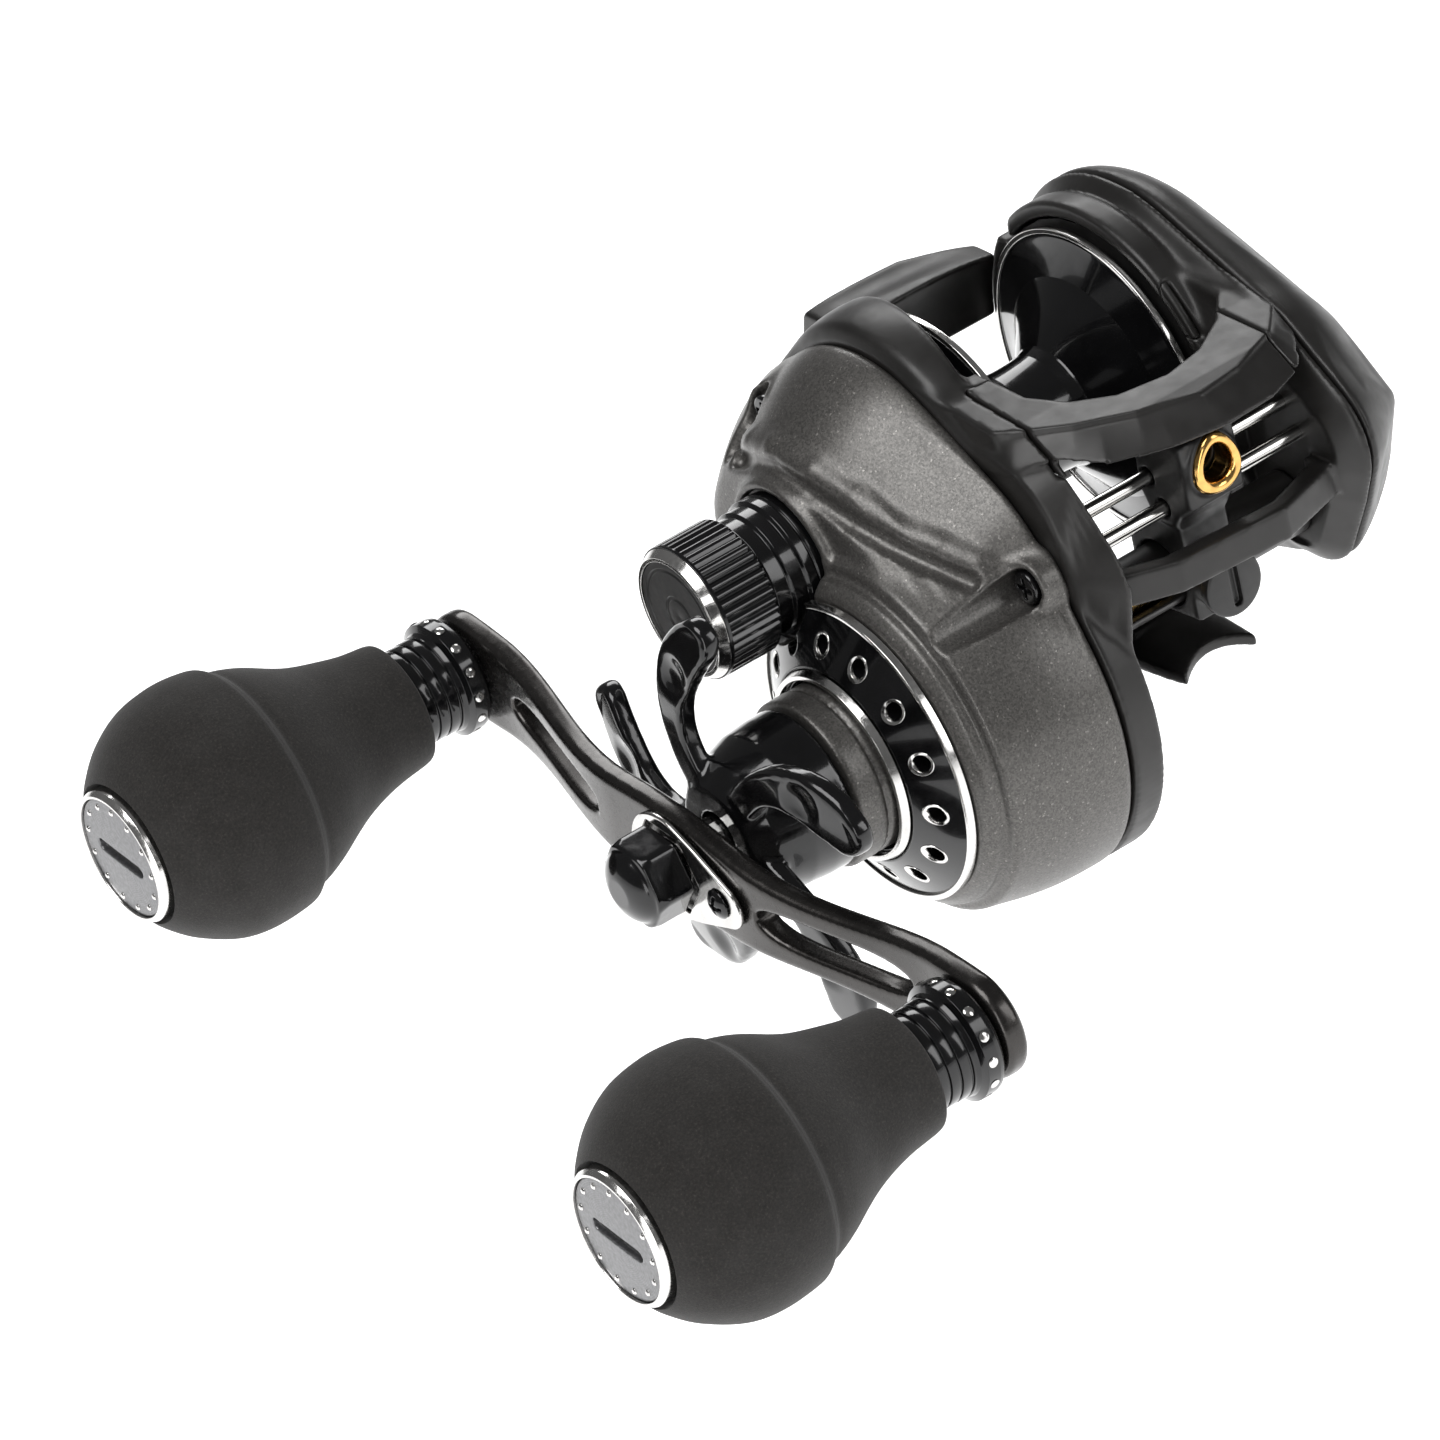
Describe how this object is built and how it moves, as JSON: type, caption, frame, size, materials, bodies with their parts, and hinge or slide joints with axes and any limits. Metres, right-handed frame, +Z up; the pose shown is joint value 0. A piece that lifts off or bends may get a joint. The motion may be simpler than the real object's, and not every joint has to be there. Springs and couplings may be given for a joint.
{
  "type": "baitcasting reel",
  "caption": "Low-profile baitcasting fishing reel with a bent double handle, star drag, foam knobs, level wind and saddle foot.",
  "frame": {"origin": "middle of the foot's seat, on the flat crown of its saddle-shaped underside", "axes": "+Z up from the rod, -Y along the line towards the rod tip, -X towards the handle, +X towards the palm side"},
  "size_m": [0.1405, 0.125, 0.069],
  "materials": {
    "satin_black": "satin black, slightly faceted shell",
    "graphite_paint": "dark graphite metallic paint with fine flake",
    "gloss_black": "gloss black anodised",
    "gunmetal": "gloss gunmetal anodised",
    "polished_steel": "polished",
    "knob_cap": "fine turned, bright rim",
    "brass": "machined",
    "gold_insert": "polished gold-coloured hard coating",
    "eva_foam": "matt closed-cell foam",
    "black_plastic": "moulded black",
    "carbon_fibre": "woven carbon",
    "magnet": "nickel plated"
  },
  "bodies": {
    "reel_body": {"frame": "satin_black", "front_hood": "satin_black", "reel_foot": "satin_black", "foot_screw_front": "polished_steel", "foot_screw_rear": "polished_steel", "gear_side_cover": "graphite_paint", "cover_screw_front": "satin_black", "cover_screw_rear": "satin_black", "trim_ring": "gloss_black", "pinion_bearing": "polished_steel", "palm_bearing": "polished_steel", "tension_bearing": "polished_steel", "shaft_bearing": "polished_steel", "one_way_bearing": "polished_steel", "tension_boss": "gloss_black", "yoke_spring_upper": "polished_steel", "yoke_spring_lower": "polished_steel", "worm_tube": "satin_black", "guide_rod_rear": "polished_steel", "guide_rod_front": "polished_steel", "palm_side_cover": "satin_black", "brake_plate": "black_plastic", "brake_magnets": "magnet"},
    "tension_cap": {"tension_knob": "gloss_black"},
    "spool": {"spool": "gloss_black", "spool_shaft": "polished_steel", "brake_rotor": "magnet"},
    "pinion": {"pinion_gear": "brass"},
    "yoke": {"clutch_yoke": "black_plastic"},
    "thumb_bar": {"thumb_bar": "satin_black"},
    "handle": {"drive_shaft": "polished_steel", "main_gear": "brass", "drag_washers": "carbon_fibre", "pressure_plate": "polished_steel", "one_way_sleeve": "polished_steel", "ratchet_wheel": "polished_steel", "worm_drive_gear": "black_plastic", "handle_arm": "gunmetal", "handle_nut": "gloss_black", "nut_retainer": "polished_steel", "retainer_screw": "polished_steel", "knob_spindle_rear": "polished_steel", "knob_spindle_front": "polished_steel"},
    "star": {"star_drag": "gloss_black"},
    "rear_knob": {"knob_bush_rear": "brass", "knob_core_rear": "gloss_black", "knob_grip_rear": "eva_foam", "knob_cap_rear": "knob_cap"},
    "front_knob": {"knob_bush_front": "brass", "knob_core_front": "gloss_black", "knob_grip_front": "eva_foam", "knob_cap_front": "knob_cap"},
    "worm": {"worm_shaft": "brass", "worm_gear": "black_plastic"},
    "carriage": {"line_carriage": "black_plastic", "line_guide": "gold_insert", "guide_pawl": "brass", "pawl_cap": "black_plastic"},
    "dial": {"brake_dial": "gloss_black"},
    "dog": {"anti_reverse_dog": "polished_steel"}
  },
  "joints": [
    {"name": "handle_turn", "type": "hinge", "parent": "reel_body", "child": "handle", "pos_m": [0, -0.0141, 0.0025], "axis": [1, 0, 0], "continuous": true},
    {"name": "spool_turn", "type": "hinge", "parent": "reel_body", "child": "spool", "pos_m": [0, 0, 0.0214], "axis": [1, 0, 0], "continuous": true},
    {"name": "yoke_slide", "type": "slide", "parent": "reel_body", "child": "yoke", "axis": [-1, 0, 0], "range_m": [0, 0.001]},
    {"name": "pinion_turn", "type": "hinge", "parent": "yoke", "child": "pinion", "pos_m": [0, 0, 0.0214], "axis": [1, 0, 0], "continuous": true},
    {"name": "thumb_press", "type": "slide", "parent": "reel_body", "child": "thumb_bar", "axis": [0, 0.3156, -0.9489], "range_m": [0, 0.0045]},
    {"name": "worm_turn", "type": "hinge", "parent": "reel_body", "child": "worm", "pos_m": [0, -0.027, 0.0125], "axis": [1, 0, 0], "continuous": true},
    {"name": "carriage_slide", "type": "slide", "parent": "reel_body", "child": "carriage", "axis": [1, 0, 0], "range_m": [-0.0108, 0.0108]},
    {"name": "star_turn", "type": "hinge", "parent": "handle", "child": "star", "pos_m": [0, -0.0141, 0.0025], "axis": [1, 0, 0], "range_deg": [-270, 270]},
    {"name": "rear_knob_turn", "type": "hinge", "parent": "handle", "child": "rear_knob", "pos_m": [0, 0.03305, 0.00823], "axis": [1, 0, 0], "continuous": true},
    {"name": "front_knob_turn", "type": "hinge", "parent": "handle", "child": "front_knob", "pos_m": [0, -0.06125, -0.00323], "axis": [1, 0, 0], "continuous": true},
    {"name": "tension_turn", "type": "hinge", "parent": "reel_body", "child": "tension_cap", "pos_m": [0, 0, 0.0214], "axis": [1, 0, 0], "range_deg": [-360, 360]},
    {"name": "dial_turn", "type": "hinge", "parent": "reel_body", "child": "dial", "pos_m": [0, 0, 0.0214], "axis": [1, 0, 0], "range_deg": [0, 270]},
    {"name": "dog_pivot", "type": "hinge", "parent": "reel_body", "child": "dog", "pos_m": [-0.0225, 0.0026, -0.0054], "axis": [1, 0, 0], "range_deg": [-12, 5]}
  ],
  "couplings": [
    {"joint": "spool_turn", "follows": "handle_turn", "ratio": -7.1},
    {"joint": "pinion_turn", "follows": "handle_turn", "ratio": -7.1},
    {"joint": "worm_turn", "follows": "handle_turn", "ratio": -2.5},
    {"joint": "yoke_slide", "follows": "thumb_press", "ratio": 0.22222}
  ]
}
